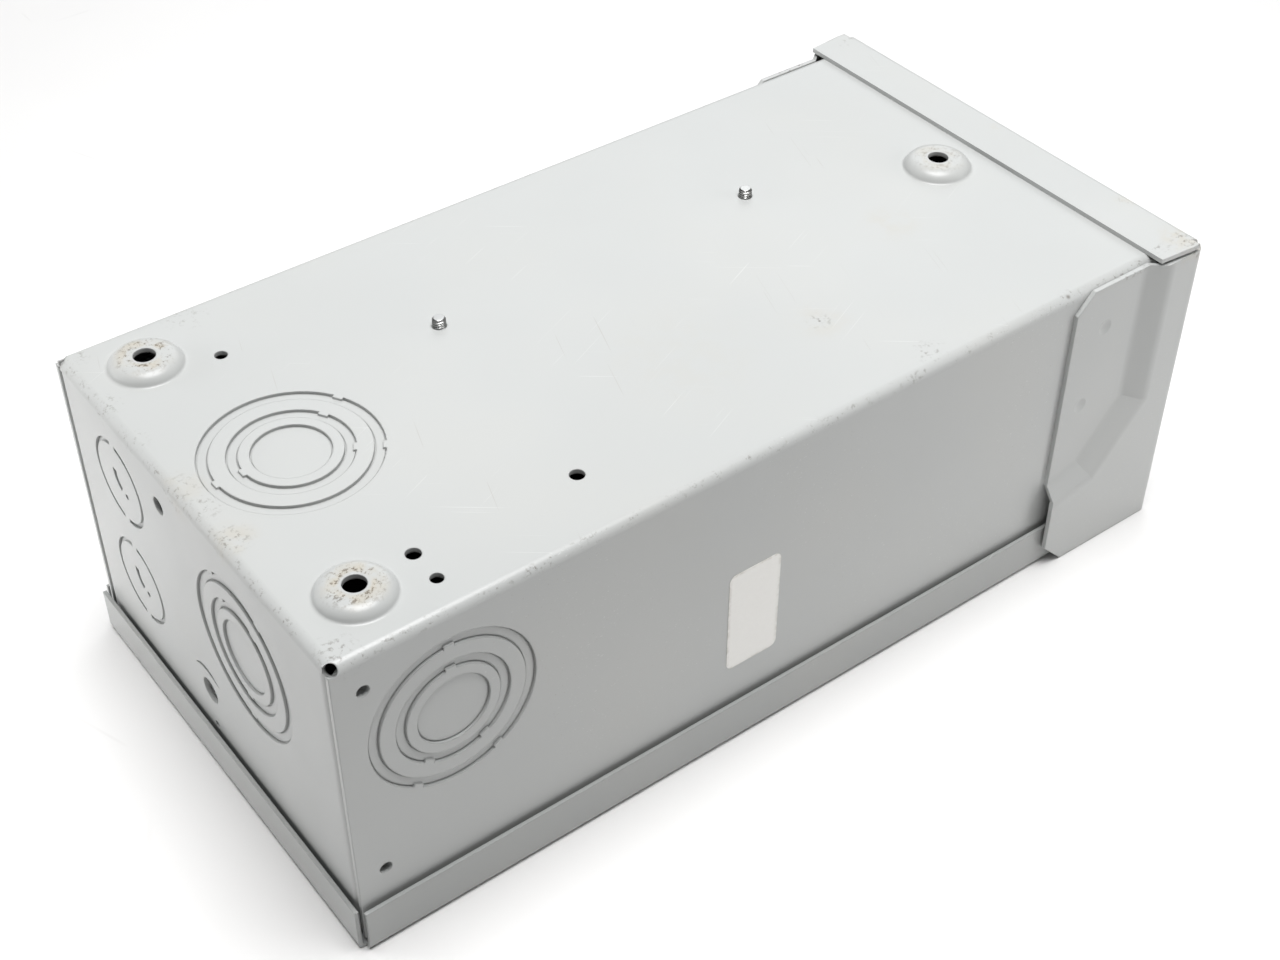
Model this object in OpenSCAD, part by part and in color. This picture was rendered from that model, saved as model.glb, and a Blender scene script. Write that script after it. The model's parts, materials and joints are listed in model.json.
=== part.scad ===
// Raintight four-space subpanel enclosure, lying on its closed front cover.
// X runs from the bottom end wall to the rain hood, Y across the width, Z from cover to back panel.
// Every sub-part is drawn in box coordinates: x = 0 at the bottom end wall, y = 0 at the near side wall,
// z = 0 at the cover's face. placed() then moves it to the part's own origin.

/* [Box] */
// Outside width across the two side walls
box_w = 152.4; // [140:0.1:190]
// Length of the side walls, from the bottom end wall to their open end
box_l = 297; // [285:1:370]
// Depth from the cover's face to the outside of the back panel
box_d = 107; // [98:1:140]
// Thickness of the box and hood sheet
sheet = 1.5; // [1.2:0.1:2]
// Outside radius of the sheet bends
bend_r = 3; // [2.2:0.1:4]
// Length of the end wall's side flanges, which lie inside the side walls
end_flange = 14; // [8:1:20]
// Diameter of the round relief where three bends meet
relief_d = 3.6; // [3:0.1:4]

/* [Cover] */
// Thickness of the cover sheet
cover_sheet = 1.2; // [0.8:0.1:1.6]
// Gap between the box walls and the cover's flanges
cover_gap = 1.2; // [0.8:0.1:2]
// Height of the cover's flanges
cover_flange = 15.5; // [13:0.5:22]
// Outside radius of the cover's bends
cover_bend = 2.2; // [1.8:0.1:3]
// Gap between the cover's inside face and the rim of the box
rim_gap = 1.8; // [1:0.1:3]
// Width of the open notch at the cover's corners
cover_notch = 2.2; // [1.5:0.1:4]
// Bottom of the corner notch above the cover's face
notch_floor = 3; // [2.5:0.1:5]
// Height of the stiffening panel pressed into the cover
cover_panel_h = 0.8; // [0.4:0.1:1]
// Distance from the cover's edges to that panel
cover_panel_in = 24; // [18:1:30]
// Width of that panel's raised border
cover_panel_w = 6; // [4:0.5:10]

/* [Hinge] */
// Distance from the hinge axis to the inside of the hood's end wall
hinge_in = 7.6; // [7.2:0.1:9]
// Height of the hinge axis above the cover's face
hinge_z = 6; // [5.8:0.1:6.4]
// Diameter of the hinge pins
pin_d = 4; // [3:0.1:4.4]
// Radial clearance of the pins in the cover
pin_fit = 0.08; // [0.04:0.01:0.1]
// Sheet left round the hinge hole in the cover
hinge_ear = 1.4; // [1:0.1:1.8]

/* [Rain hood] */
// Gap from the open end of the box to the inside of the hood's end wall
hood_gap = 5.3; // [5:0.1:8]
// Length of the lip over the back panel
hood_lip = 18.5; // [14:0.5:24]
// Length of the hood's side flanges
hood_side = 50.3; // [44:0.1:60]
// Chamfer of the side flanges at the back panel
hood_chamfer = 6.5; // [4:0.5:9]
// Chamfer of the side flanges at the cover
hood_toe = 8.5; // [6:0.5:11]
// Clearance between the cover's flanges and the hood's flanges
hood_clear = 1.2; // [0.8:0.1:2]
// Width of the sloping step in the side flanges
step_run = 4.5; // [3:0.5:6]
// Distance from the hood's end to that step
step_in = 20.5; // [17:0.5:24]
// Height above the cover's face at which the step leaves the hood's end
step_high = 56; // [48:1:66]
// Height of the step where it turns towards the flange's edge
step_mid = 36; // [32:1:40]
// Distance of that turn from the hood's end
step_turn = 37; // [32:1:40]
// Height of the step at the flange's edge
step_low = 33; // [30:1:36]
// Diameter of the spot-weld dimples
weld_d = 6; // [3:0.5:7]
// Distance of the dimples from the side flange's free edge
weld_in = 13.7; // [10:0.1:15]
// Depth of the upper dimple below the back panel
weld_z = 17; // [13:0.5:22]
// Spacing of the two dimples
weld_pitch = 28; // [20:0.5:30]
// Distance of the lower weld from the line straight below the upper one
weld_skew = 5; // [0:0.5:6]

/* [Hub opening] */
// Diameter of the hub opening in the hood's end wall
hub_d = 50.8; // [40:0.1:60]
// Side of the square closing plate
hub_plate_w = 70; // [66:1:74]
// Radius of the closing plate's corners
hub_corner = 5; // [2:0.5:8]
// Spacing of the closing plate's screws
hub_pitch = 57.2; // [56:0.1:60]
// Diameter of the closing plate's screws
hub_screw_d = 4.8; // [4:0.1:5.5]

/* [Knockouts] */
// Hole of the 1/2 inch conduit knockout
ko_half = 22.2; // [21.5:0.1:23]
// Hole of the 3/4 inch conduit knockout
ko_three_quarter = 28.4; // [27.5:0.1:29]
// Hole of the 1 inch conduit knockout
ko_one = 34.9; // [34:0.1:36]
// Hole of the 1 1/4 inch conduit knockout
ko_one_quarter = 44.2; // [43:0.1:45]
// Hole of the 1 1/2 inch conduit knockout
ko_one_half = 50.8; // [50:0.1:52]
// Depth by which the slugs are half-sheared through the wall
ko_step = 0.7; // [0.3:0.05:0.8]
// Width of the sheared line round a slug
ko_slit = 0.4; // [0.2:0.05:0.6]
// Depth of the sheared line
ko_slit_depth = 1.1; // [0.9:0.1:1.1]
// Width of the tabs that hold the slugs
ko_tab = 3; // [2:0.5:5]
// Reach of the tabs across a sheared circle
ko_bridge = 2; // [1.3:0.1:2.4]
// Distance of the back and side knockouts from the bottom end wall
ko_back_x = 33.3; // [30:0.1:60]
// Depth of the side knockouts below the back panel
ko_side_z = 34.3; // [31:0.1:46]
// Distance of the large end knockout from the near side wall
ko_end_y = 51; // [44:0.5:56]
// Depth of the large end knockout below the back panel
ko_end_z = 37.5; // [32:0.5:44]
// Distance of the two small end knockouts from the near side wall
ko_small_y = 119.8; // [116:0.1:120]
// Depth of the upper small knockout below the back panel
ko_small_z = 24.4; // [20:0.1:28]
// Spacing of the two small knockouts
ko_small_pitch = 38.2; // [32:0.1:40]
// Width of the pressed rim round the slug of a small knockout
ko_rim = 1.4; // [1:0.1:2]
// Radius of the curved pry slit in a small knockout
pry_r = 5.8; // [5:0.1:6.5]
// Width of the pry slit
pry_w = 2.2; // [1.4:0.1:2.4]
// Diameter of the small hole below the pry slit
pry_dot_d = 1.8; // [1.2:0.1:2.2]

/* [Wall mounting] */
// Spacing of the two lower mounting holes
mount_pitch = 114.3; // [100:0.1:130]
// Distance of the lower mounting holes from the bottom end wall
mount_x = 19.2; // [16:0.1:26]
// Distance between the lower mounting holes and the upper one
mount_span = 249.6; // [230:0.1:255]
// Diameter of the mounting holes
mount_hole = 6.5; // [5:0.1:7.5]
// Diameter of the raised pads round them
pad_d = 23.2; // [21:0.1:26]
// Diameter of the flat crown of a pad
pad_crown = 13.2; // [12:0.1:14]
// Radius of the fillet at the foot of a pad
pad_fillet = 1; // [0.5:0.1:1.5]
// Height of the raised pads
pad_h = 3.4; // [2.6:0.1:4]

/* [Small holes] */
// Distance of the ground bar holes from the near side wall
ground_y = 22.7; // [18:0.1:26]
// Distance of the first ground bar hole from the bottom end wall
ground_x = 38.1; // [32:0.1:44]
// Spacing of the two ground bar holes
ground_pitch = 50.6; // [44:0.1:56]
// Diameter of the ground bar holes
ground_d = 4.4; // [3.5:0.1:5]
// Diameter of the small tooling holes
small_d = 3.8; // [3:0.1:4.4]
// Distance of the third small back hole from the near side wall
tool_y = 11.7; // [10:0.1:14]
// Distance of the far small back hole from the near side wall
far_y = 124.8; // [118:0.1:130]
// Distance of the side wall holes from the bottom end wall
side_hole_x = 8.6; // [7:0.1:12]
// Depth of the upper side wall hole below the back panel
side_hole_z = 12; // [9:0.1:16]
// Spacing of the two side wall holes
side_hole_pitch = 68.2; // [60:0.1:72]
// Diameter of the vent hole in the end wall
vent_d = 5.6; // [4:0.1:7]
// Distance of the vent hole from the near side wall
vent_y = 92.2; // [88:0.1:96]
// Depth of the vent hole below the back panel
vent_z = 13.4; // [10:0.1:16]

/* [Cover catch] */
// Distance of the catch from the middle of the large end knockout
catch_dy = 29.8; // [27:0.1:31]
// Diameter of the hole in the end wall over the catch
catch_hole = 8.4; // [6:0.1:10]
// Height of that hole above the cover's face
catch_z = 31; // [28:0.5:34]
// Radius of the curved lance above that hole
lance_r = 9.6; // [8:0.1:10]
// Width of the lance in its middle
lance_w = 1.6; // [1:0.1:2]
// Radius of the lance's lower edge
lance_low_r = 18; // [14:0.5:24]
// Diameter of the pilot hole below
pilot_d = 2.2; // [1.6:0.1:3]

/* [Label] */
// Width of the blank side label
label_w = 18.6; // [12:0.1:30]
// Height of the blank side label
label_h = 37.2; // [25:0.1:45]
// Distance of the label's middle from the bottom end wall
label_x = 133; // [110:1:180]
// Height of the label's middle above the cover's face
label_z = 47.8; // [40:0.1:60]
// Radius of the label's corners
label_corner = 2.4; // [1:0.1:4]
// Thickness of the label
label_t = 0.15; // [0.1:0.05:0.3]

/* [Interior] */
// Distance from the bottom end wall to the middle of the interior
interior_x = 151.8; // [148:0.1:170]
// Distance from the near side wall to the line of the interior's screws
interior_y = 99.7; // [98:0.1:101]
// Width of one breaker space
space_w = 25.4; // [24:0.1:26]
// Distance of the two screws that hold the interior from the breaker deck
screw_in = 6; // [5.2:0.1:8]
// Thickness of the interior sheet
pan_sheet = 1.2; // [1:0.1:1.5]
// Width of the interior pan
pan_w = 82; // [80:1:90]
// Height of the breaker deck above the back panel
deck_h = 20; // [18:0.5:24]
// Height of the two ledges that carry the lugs and the neutral bar
ledge_h = 12; // [10:0.5:14]
// Length of each ledge
ledge_l = 32; // [30:1:36]
// Width of the two feet that stand on the back panel
foot_l = 14; // [12:0.5:16]
// Diameter of the interior's screws
screw_d = 4.2; // [3.5:0.1:5]
// Length by which those screws show outside the back panel
screw_tip = 2.9; // [2:0.1:4]

/* [Bus bars and lugs] */
// Width of a bus bar
bus_w = 10; // [8:0.5:11]
// Thickness of a bus bar
bus_t = 3; // [2:0.5:4]
// Gap between the two bus bars
bus_gap = 6; // [5:0.5:8]
// Height of the insulator under the bus bars
bus_rise = 6; // [5:0.5:8]
// Height of the breaker stabs
stab_h = 14; // [12:0.5:18]
// Thickness of the breaker stabs
stab_t = 2; // [1.6:0.1:2.5]
// Width of a line lug
lug_w = 13; // [11:0.5:14]
// Length of a line lug
lug_l = 22; // [18:0.5:24]
// Height of a line lug
lug_h = 18; // [16:0.5:22]
// Diameter of the wire hole in a lug
lug_bore = 8.5; // [7:0.1:9]
// Diameter of a lug's set screw
set_d = 7; // [6:0.1:7.5]
// Width of the neutral bar
neutral_w = 10; // [9:0.5:12]
// Height of the neutral bar
neutral_h = 10; // [9:0.5:12]
// Number of wire holes in the neutral bar
neutral_n = 6; // [4:1:7]
// Spacing of the wire holes
neutral_pitch = 7.6; // [7.2:0.1:8]
// Diameter of the wire holes
neutral_bore = 5; // [4:0.1:5.4]
// Diameter of the neutral bar's screws
neutral_screw = 4.8; // [4:0.1:5]

/* [Deadfront] */
// Thickness of the deadfront sheet
front_sheet = 1.2; // [0.9:0.1:1.5]
// Height of the deadfront's face above the cover's face
front_z = 22; // [20:0.5:26]
// Gap between the deadfront and the side walls
front_gap = 3; // [2:0.5:5]
// Depth of the deadfront's flanges
front_flange = 10; // [8:0.5:14]
// Length of a breaker window across the deadfront
window_l = 43; // [38:1:48]
// Gap sheared round each twist-out plate
twist_slit = 0.8; // [0.5:0.1:1.2]

/* [Hidden] */
$fn = 64;
eps = 0.01;

paint = [0.70, 0.72, 0.72];
zinc = [0.75, 0.76, 0.78];
aluminium = [0.80, 0.81, 0.82];
copper_tin = [0.78, 0.76, 0.72];
plastic = [0.13, 0.13, 0.14];

// Box
rim_z = cover_sheet + rim_gap;
back_in = box_d - sheet;
mid_y = box_w / 2;
inside_w = box_w - 2 * sheet;
through = 4 * sheet;
// Tilt of the line from a corner of the box to its inside
diagonal = acos(-1 / sqrt(3));

// Hood
cover_out = cover_gap + cover_sheet;
hood_in_x = box_l + hood_gap;
hood_x = hood_in_x + sheet;
hood_gap_y = cover_out + hood_clear;
hood_out = hood_gap_y + sheet;
hood_top_gap = 1;
hood_top = box_d - hood_top_gap;
hood_edge_x = hood_x - hood_side;
weld_sink = 0.9;
hinge_x = hood_in_x - hinge_in;
cover_end_x = hinge_x + pin_d / 2 + hinge_ear;
lip_taper = 6;
lip_taper_w = 1.2;
hub_fit = 1;
hub_screw_grip = 6;

// Knockouts, from the largest circle to the smallest
ko_d = [ko_one_half, ko_one_quarter, ko_one, ko_three_quarter, ko_half];
outer_tabs = [-30, 30];
inner_tabs = [180];
small_tabs = [90, 270];
pry_centre = [-4, 3];
pry_arc = [-59, 9.5];
pry_arc_mid = (pry_arc[0] + pry_arc[1]) / 2;
pry_dot_turn = -87;

// Interior, with depths measured from the inside of the back panel
spaces = 4;
deck_l = spaces * space_w;
deck_x0 = interior_x - deck_l / 2;
deck_x1 = interior_x + deck_l / 2;
pan_shift = 1;
pan_y0 = interior_y - pan_w / 2 + pan_shift;
screw_pitch = deck_l + 2 * screw_in;
foot_x0 = deck_x0 - foot_l;
foot_x1 = deck_x1 + foot_l;
ledge_x0 = foot_x0 - ledge_l;
ledge_x1 = foot_x1 + ledge_l;
rail_h = 14;
rail_t = 1.5;
rail_foot = 11;
rail_hook = 4;
rail_end = 1;
rail_rivet_in = 1;
rail_rivet_y = pan_y0 + rail_foot / 2 + rail_rivet_in;
hook_gap = 2;
rivet_d = 3.6;
rivet_head = 6.4;
rivet_head_h = 1.4;

// Bus bars
bus_edge = 2;
bus_y_b = pan_y0 + pan_w - bus_edge - bus_w;
bus_y_a = bus_y_b - bus_gap - bus_w;
bus_top = deck_h + bus_rise + bus_t;
bus_in = 4;
bus_x0 = deck_x0 + bus_in;
base_edge = 2;
base_far = 1;
base_y = bus_y_a - base_edge;
base_w = bus_y_b + bus_w + base_far - base_y;
base_hole_h = 3 * bus_rise;
lug_end_in = 2;
lug_x1 = ledge_x1 - lug_end_in;
lug_x0 = lug_x1 - lug_l;
lug_base_in = 3;
// Heights inside a lug as shares of its height
lug_axis = 0.42;
lug_set_len = 0.5;
clamp_head = 0.2;
// Hexagon socket of a set screw as shares of its diameter and length
socket_w = 0.6;
socket_depth = 0.5;
bus_screw_d = 4;
bus_screw_head = 7;
bus_screw_head_h = 2;
stab_w = 13;
stab_foot = 2;
stab_on = (stab_w - bus_gap) / 2;
stab_clear = 2.8;
ridge_w = 2;
ridge_h = 2;
clamp_d = 4.8;
clamp_tail = 2;
clamp_nut_d = clamp_d + 3.4;
clamp_nut_h = 3;
clamp_pocket_d = clamp_d + 5;
clamp_pocket_h = 6;

// Neutral bar
neutral_x = ledge_x0 + ledge_l / 2 - neutral_w / 2;
neutral_in = 4;
neutral_y0 = pan_y0 + neutral_in;
neutral_l = 70;
neutral_base_h = 9;
neutral_base_edge = 3;
neutral_base_end = 2;
neutral_rise = ledge_h + neutral_base_h;
neutral_start = 10;
neutral_axis = 0.4;
neutral_screw_len = 0.45;
neutral_screw_up = 1.6;
neutral_lug_w = 14;
neutral_lug_l = 20;
neutral_lug_h = 16;
bond_d = 4.8;
bond_head_d = 7.4;
bond_in = 4.5;
bond_tail = 2;
bond_x = neutral_x + neutral_w / 2;
bond_y = neutral_y0 + bond_in;

// Deadfront
front_in = front_z + front_sheet;
front_over_lower = 6;
front_over_upper = 8;
front_x0 = ledge_x0 - front_over_lower;
front_x1 = ledge_x1 + front_over_upper;
window_shift = 4;
window_web = 2;
twist_tab = 4;
bracket_w = 12;
bracket_t = 1.5;
bracket_tab = 11;
bracket_in = 14;
bracket_y = pan_y0 + bracket_in;
bracket_tab_in = bracket_tab / 2;
bracket_gap = 1;
bracket_foot = foot_l - pan_sheet - 3 * bracket_gap;
bracket_x_lower = foot_x0 + pan_sheet + bracket_gap + bracket_tab_in;
bracket_x_upper = foot_x1 - pan_sheet - bracket_gap - bracket_tab_in;
front_screw_d = 4.2;
front_screw_tail = 3;
front_bend = 2;

// Screw heads
head_d = 8.4;
head_h = 2.4;
slot_w = 1.1;
slot_depth = 1.1;
slot_turn = 30;
screw_point = 0.6;
screw_hole_fit = 0.2;

// Cover catch
catch_w = 16;
catch_t = 0.8;
catch_y = ko_end_y + catch_dy;
catch_clear = 1.8;
catch_reach = ko_one_half / 2 + catch_clear;
catch_top = box_d - ko_end_z - sqrt(pow(catch_reach, 2) - pow(catch_dy - catch_w / 2, 2));
catch_nose = 0.9;
catch_nose_r = 1.6;
catch_nose_z = 9;
catch_nose_w = 6;
catch_slot_w = 8;
catch_slot_h = 5;
catch_rivet_in = 8;
catch_rivet_z = catch_top - catch_rivet_in;
catch_rivet_pitch = 9;
pilot_z = 16.8;

// Moves a sub-part from box coordinates to the origin under the middle of the whole part.
module placed() {
  translate([-(hood_x + sheet + head_h - cover_out) / 2, -mid_y, 0]) children();
}

// Puts a shape that points down (-Z) at a depth measured from the inside of the back panel.
module hung(depth) {
  translate([0, 0, back_in - depth]) children();
}

// Turns a wall feature drawn with its outside face at z = 0 to the near wall, far wall or end wall.
module on_near_wall(x, z) {
  translate([x, 0, z]) rotate([90, 0, 0]) children();
}
module on_far_wall(x, z) {
  translate([x, box_w, z]) rotate([-90, 0, 0]) mirror([0, 1, 0]) children();
}
module on_end_wall(y, z) {
  translate([0, y, z]) rotate([0, -90, 0]) rotate([0, 0, 90]) mirror([0, 1, 0]) children();
}
module on_back(x, y) {
  translate([x, y, box_d]) children();
}

// Outline with the two upper corners rounded.
module arch(w, h, r) {
  translate([r, 0]) square([w - 2 * r, h]);
  square([w, h - r]);
  for (x = [r, w - r]) translate([x, h - r]) circle(r);
}

// Folded channel section: a web at the top and two flanges.
module channel(w, h, t, r) {
  difference() {
    arch(w, h, r);
    translate([t, -1]) arch(w - 2 * t, h - t + 1, r - t);
  }
}

// Quarter of a bend, with its axis along the extrusion.
module bend(len, t, r) {
  linear_extrude(len) intersection() {
    difference() {
      circle(r);
      circle(r - t);
    }
    square(r + 1);
  }
}

// Plate with rounded corners, centred.
module rounded_plate(w, h, t, r) {
  linear_extrude(t) {
    square([w - 2 * r, h], center = true);
    square([w, h - 2 * r], center = true);
    for (x = [-1, 1], y = [-1, 1]) translate([x * (w / 2 - r), y * (h / 2 - r)]) circle(r);
  }
}

module ring(d_out, d_in, h) {
  difference() {
    cylinder(d = d_out, h = h);
    translate([0, 0, -1]) cylinder(d = d_in, h = h + 2);
  }
}

// Tabs of length l that bridge a sheared circle of diameter d.
module tabs(d, angles, h, l = ko_bridge) {
  for (a = angles) rotate(a) translate([d / 2, 0, 0]) cube([l, ko_tab, h], center = true);
}

// One pressed zone of a knockout between two of its circles.
module ko_zone(d_out, d_in, h) {
  difference() {
    ring(d_out, d_in, h);
    tabs(d_out, outer_tabs, 4 * sheet);
    tabs(d_in, inner_tabs, 4 * sheet);
  }
}

// Pockets and sheared lines of a concentric knockout, cut from the outside face at z = 0.
module knockout_cut() {
  for (i = [0, 2]) {
    translate([0, 0, -ko_step]) ko_zone(ko_d[i], ko_d[i + 1], ko_step + 1);
    translate([0, 0, -ko_slit_depth]) {
      difference() {
        ring(ko_d[i], ko_d[i] - 2 * ko_slit, ko_slit_depth + 1);
        tabs(ko_d[i], outer_tabs, 4 * sheet);
      }
      difference() {
        ring(ko_d[i + 1] + 2 * ko_slit, ko_d[i + 1], ko_slit_depth + 1);
        tabs(ko_d[i + 1], inner_tabs, 4 * sheet);
      }
    }
  }
  translate([0, 0, -ko_step]) cylinder(d = ko_d[4], h = ko_step + 1);
  translate([0, 0, -ko_slit_depth]) ring(ko_d[4], ko_d[4] - 2 * ko_slit, ko_slit_depth + 1);
}

// The same zones where they stand out on the inside of the wall.
module knockout_boss() {
  translate([0, 0, -sheet - ko_step]) {
    for (i = [0, 2]) ko_zone(ko_d[i] - 2 * ko_slit, ko_d[i + 1] + 2 * ko_slit, ko_step + eps);
    cylinder(d = ko_d[4] - 2 * ko_slit, h = ko_step + eps);
  }
}

// Curved pry slit with a small hole below it.
module pry_slit() {
  translate(pry_centre) {
    intersection() {
      difference() {
        circle(pry_r + pry_w / 2);
        circle(pry_r - pry_w / 2);
      }
      polygon([[0, 0], for (a = [pry_arc[0], pry_arc_mid, pry_arc[1]]) 2 * pry_r * [cos(a), sin(a)]]);
    }
    rotate(pry_dot_turn) translate([pry_r, 0]) circle(d = pry_dot_d);
  }
}

// Small single knockout: a slug with a pry slit through it, inside a pressed rim.
ko_slug = ko_three_quarter - 2 * ko_rim;
module small_knockout_cut() {
  difference() {
    union() {
      translate([0, 0, -ko_step]) ring(ko_three_quarter, ko_slug, ko_step + 1);
      translate([0, 0, -ko_slit_depth])
        ring(ko_three_quarter, ko_three_quarter - 2 * ko_slit, ko_slit_depth + 1);
    }
    tabs(ko_three_quarter - ko_rim, small_tabs, 4 * sheet, ko_rim + ko_bridge);
  }
  translate([0, 0, -through]) linear_extrude(2 * through) pry_slit();
}
module small_knockout_boss() {
  translate([0, 0, -sheet - ko_step]) ring(ko_three_quarter - 2 * ko_slit, ko_slug, ko_step + eps);
}

// Centres of the three wall-mounting holes in the back panel.
mounts = [
  [mount_x, mid_y - mount_pitch / 2],
  [mount_x, mid_y + mount_pitch / 2],
  [mount_x + mount_span, mid_y]
];

// Raised pad round a mounting hole: a shell with a flat crown, a round shoulder and a fillet at its foot.
// The shoulder's arc crosses the crown and the fillet by pad_lap, so that they meet at clean points.
pad_lap = 0.02;
pad_side = (pad_d - pad_crown) / 2;
pad_r = (pow(pad_side, 2) + pow(pad_h, 2)) / (2 * pad_h) - pad_fillet;
pad_foot_r = pad_crown / 2 + pad_side * pad_r / (pad_r + pad_fillet);
pad_foot_z = pad_fillet * pad_h / (pad_r + pad_fillet);
pad_hole_r = (pad_foot_r + pad_d / 2) / 2;

// Profile of a pad's crown and shoulder, with a shoulder of radius r, from the height z up.
module pad_dome(r, z) {
  intersection() {
    translate([0, z]) square([pad_d, pad_h - pad_r + r - pad_lap - z]);
    union() {
      translate([pad_crown / 2, pad_h - pad_r]) circle(r);
      translate([0, -pad_d]) square([pad_crown / 2, 2 * pad_d]);
    }
  }
}
module pad_shell() {
  rotate_extrude() difference() {
    union() {
      pad_dome(pad_r + pad_lap, -sheet);
      difference() {
        translate([pad_crown / 2, -sheet]) square([pad_side, sheet + pad_foot_z]);
        translate([pad_d / 2, pad_fillet]) circle(pad_fillet);
      }
    }
    pad_dome(pad_r - sheet, -2 * sheet);
  }
}

module back_holes() {
  for (p = mounts) on_back(p[0], p[1]) translate([0, 0, -through]) cylinder(d = mount_hole, h = 3 * through);
  for (x = [ground_x, ground_x + ground_pitch]) {
    on_back(x, ground_y) translate([0, 0, -through]) cylinder(d = ground_d, h = 2 * through);
  }
  for (y = [tool_y, far_y]) {
    on_back(ground_x, y) translate([0, 0, -through]) cylinder(d = small_d, h = 2 * through);
  }
  for (s = [-1, 1]) {
    on_back(interior_x + s * screw_pitch / 2, interior_y) translate([0, 0, -through])
      cylinder(d = screw_d + screw_hole_fit, h = 2 * through);
  }
}

// Crescent-shaped lance round the upper side of the hole over the catch.
module lance() {
  difference() {
    circle(lance_r);
    translate([0, lance_r - lance_w - lance_low_r]) circle(lance_low_r);
  }
}

module end_wall_holes() {
  on_end_wall(vent_y, box_d - vent_z) translate([0, 0, -through]) cylinder(d = vent_d, h = 2 * through);
  on_end_wall(catch_y, catch_z) translate([0, 0, -through]) {
    cylinder(d = catch_hole, h = 2 * through);
    linear_extrude(2 * through) lance();
  }
  on_end_wall(catch_y, pilot_z) translate([0, 0, -through]) cylinder(d = pilot_d, h = 2 * through);
  on_end_wall(catch_y, catch_nose_z) cube([catch_slot_w, catch_slot_h, 2 * through], center = true);
}

// Folded box: back panel, two side walls and bottom end wall with its inner flanges.
module box_shell() {
  color(paint) placed() difference() {
    union() {
      difference() {
        translate([0, 0, rim_z]) rotate([90, 0, 90]) linear_extrude(box_l)
          channel(box_w, box_d - rim_z, sheet, bend_r);
        translate([-1, bend_r, box_d - bend_r]) cube([bend_r + 1, box_w - 2 * bend_r, bend_r + 1]);
        for (p = mounts) {
          on_back(p[0], p[1]) translate([0, 0, -through]) cylinder(r = pad_hole_r, h = 2 * through);
        }
      }
      translate([bend_r, box_w - bend_r + eps, box_d - bend_r]) rotate([90, 0, 0])
        mirror([1, 0, 0]) bend(box_w - 2 * (bend_r - eps), sheet, bend_r);
      translate([end_flange, sheet, rim_z]) rotate(90) linear_extrude(box_d - bend_r - rim_z)
        channel(inside_w, end_flange, sheet, bend_r);
      for (p = mounts) on_back(p[0], p[1]) pad_shell();
      on_back(ko_back_x, mid_y) knockout_boss();
      on_near_wall(ko_back_x, box_d - ko_side_z) rotate(-90) knockout_boss();
      on_far_wall(ko_back_x, box_d - ko_side_z) rotate(-90) knockout_boss();
      on_end_wall(ko_end_y, box_d - ko_end_z) rotate(90) knockout_boss();
      for (i = [0, 1]) on_end_wall(ko_small_y, box_d - ko_small_z - i * ko_small_pitch) small_knockout_boss();
    }
    back_holes();
    end_wall_holes();
    on_back(ko_back_x, mid_y) knockout_cut();
    on_near_wall(ko_back_x, box_d - ko_side_z) rotate(-90) knockout_cut();
    on_far_wall(ko_back_x, box_d - ko_side_z) rotate(-90) knockout_cut();
    on_end_wall(ko_end_y, box_d - ko_end_z) rotate(90) knockout_cut();
    for (i = [0, 1]) on_end_wall(ko_small_y, box_d - ko_small_z - i * ko_small_pitch) small_knockout_cut();
    for (far = [0, 1]) translate([0, far * box_w, box_d]) rotate([0, diagonal, 45 - far * 90])
      translate([0, 0, -relief_d]) cylinder(d = relief_d, h = relief_d + 2 * bend_r);
    for (i = [0, 1], far = [0, 1]) {
      translate([side_hole_x, far * box_w, box_d - side_hole_z - i * side_hole_pitch]) rotate([90, 0, 0])
        cylinder(d = small_d, h = 2 * through, center = true);
    }
  }
}

// Line of the step in the hood's side flange, in (x, z), and the same line moved by step_run.
step_top_x = hood_x - step_in;
step_line = [
  [step_top_x, hood_top],
  [step_top_x, step_high],
  [hood_x - step_turn, step_mid],
  [hood_edge_x, step_low]
];
function unit(v) = v / norm(v);
function left_of(a, b) = let (d = unit(b - a)) [-d[1], d[0]];
function mitre(n, m) = (n + m) / (1 + n * m);
step_n = [for (i = [0:2]) left_of(step_line[i], step_line[i + 1])];
step_far = [
  step_line[0] + step_run * step_n[0],
  step_line[1] + step_run * mitre(step_n[0], step_n[1]),
  step_line[2] + step_run * mitre(step_n[1], step_n[2]),
  step_line[3] + [0, step_run / step_n[2][1]]
];

// A flat stretch of side flange, outline in (x, z), with its inner face at y = -off.
module flange_sheet(points, off) {
  translate([0, -off, 0]) rotate([90, 0, 0]) linear_extrude(sheet) polygon(points);
}

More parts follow.
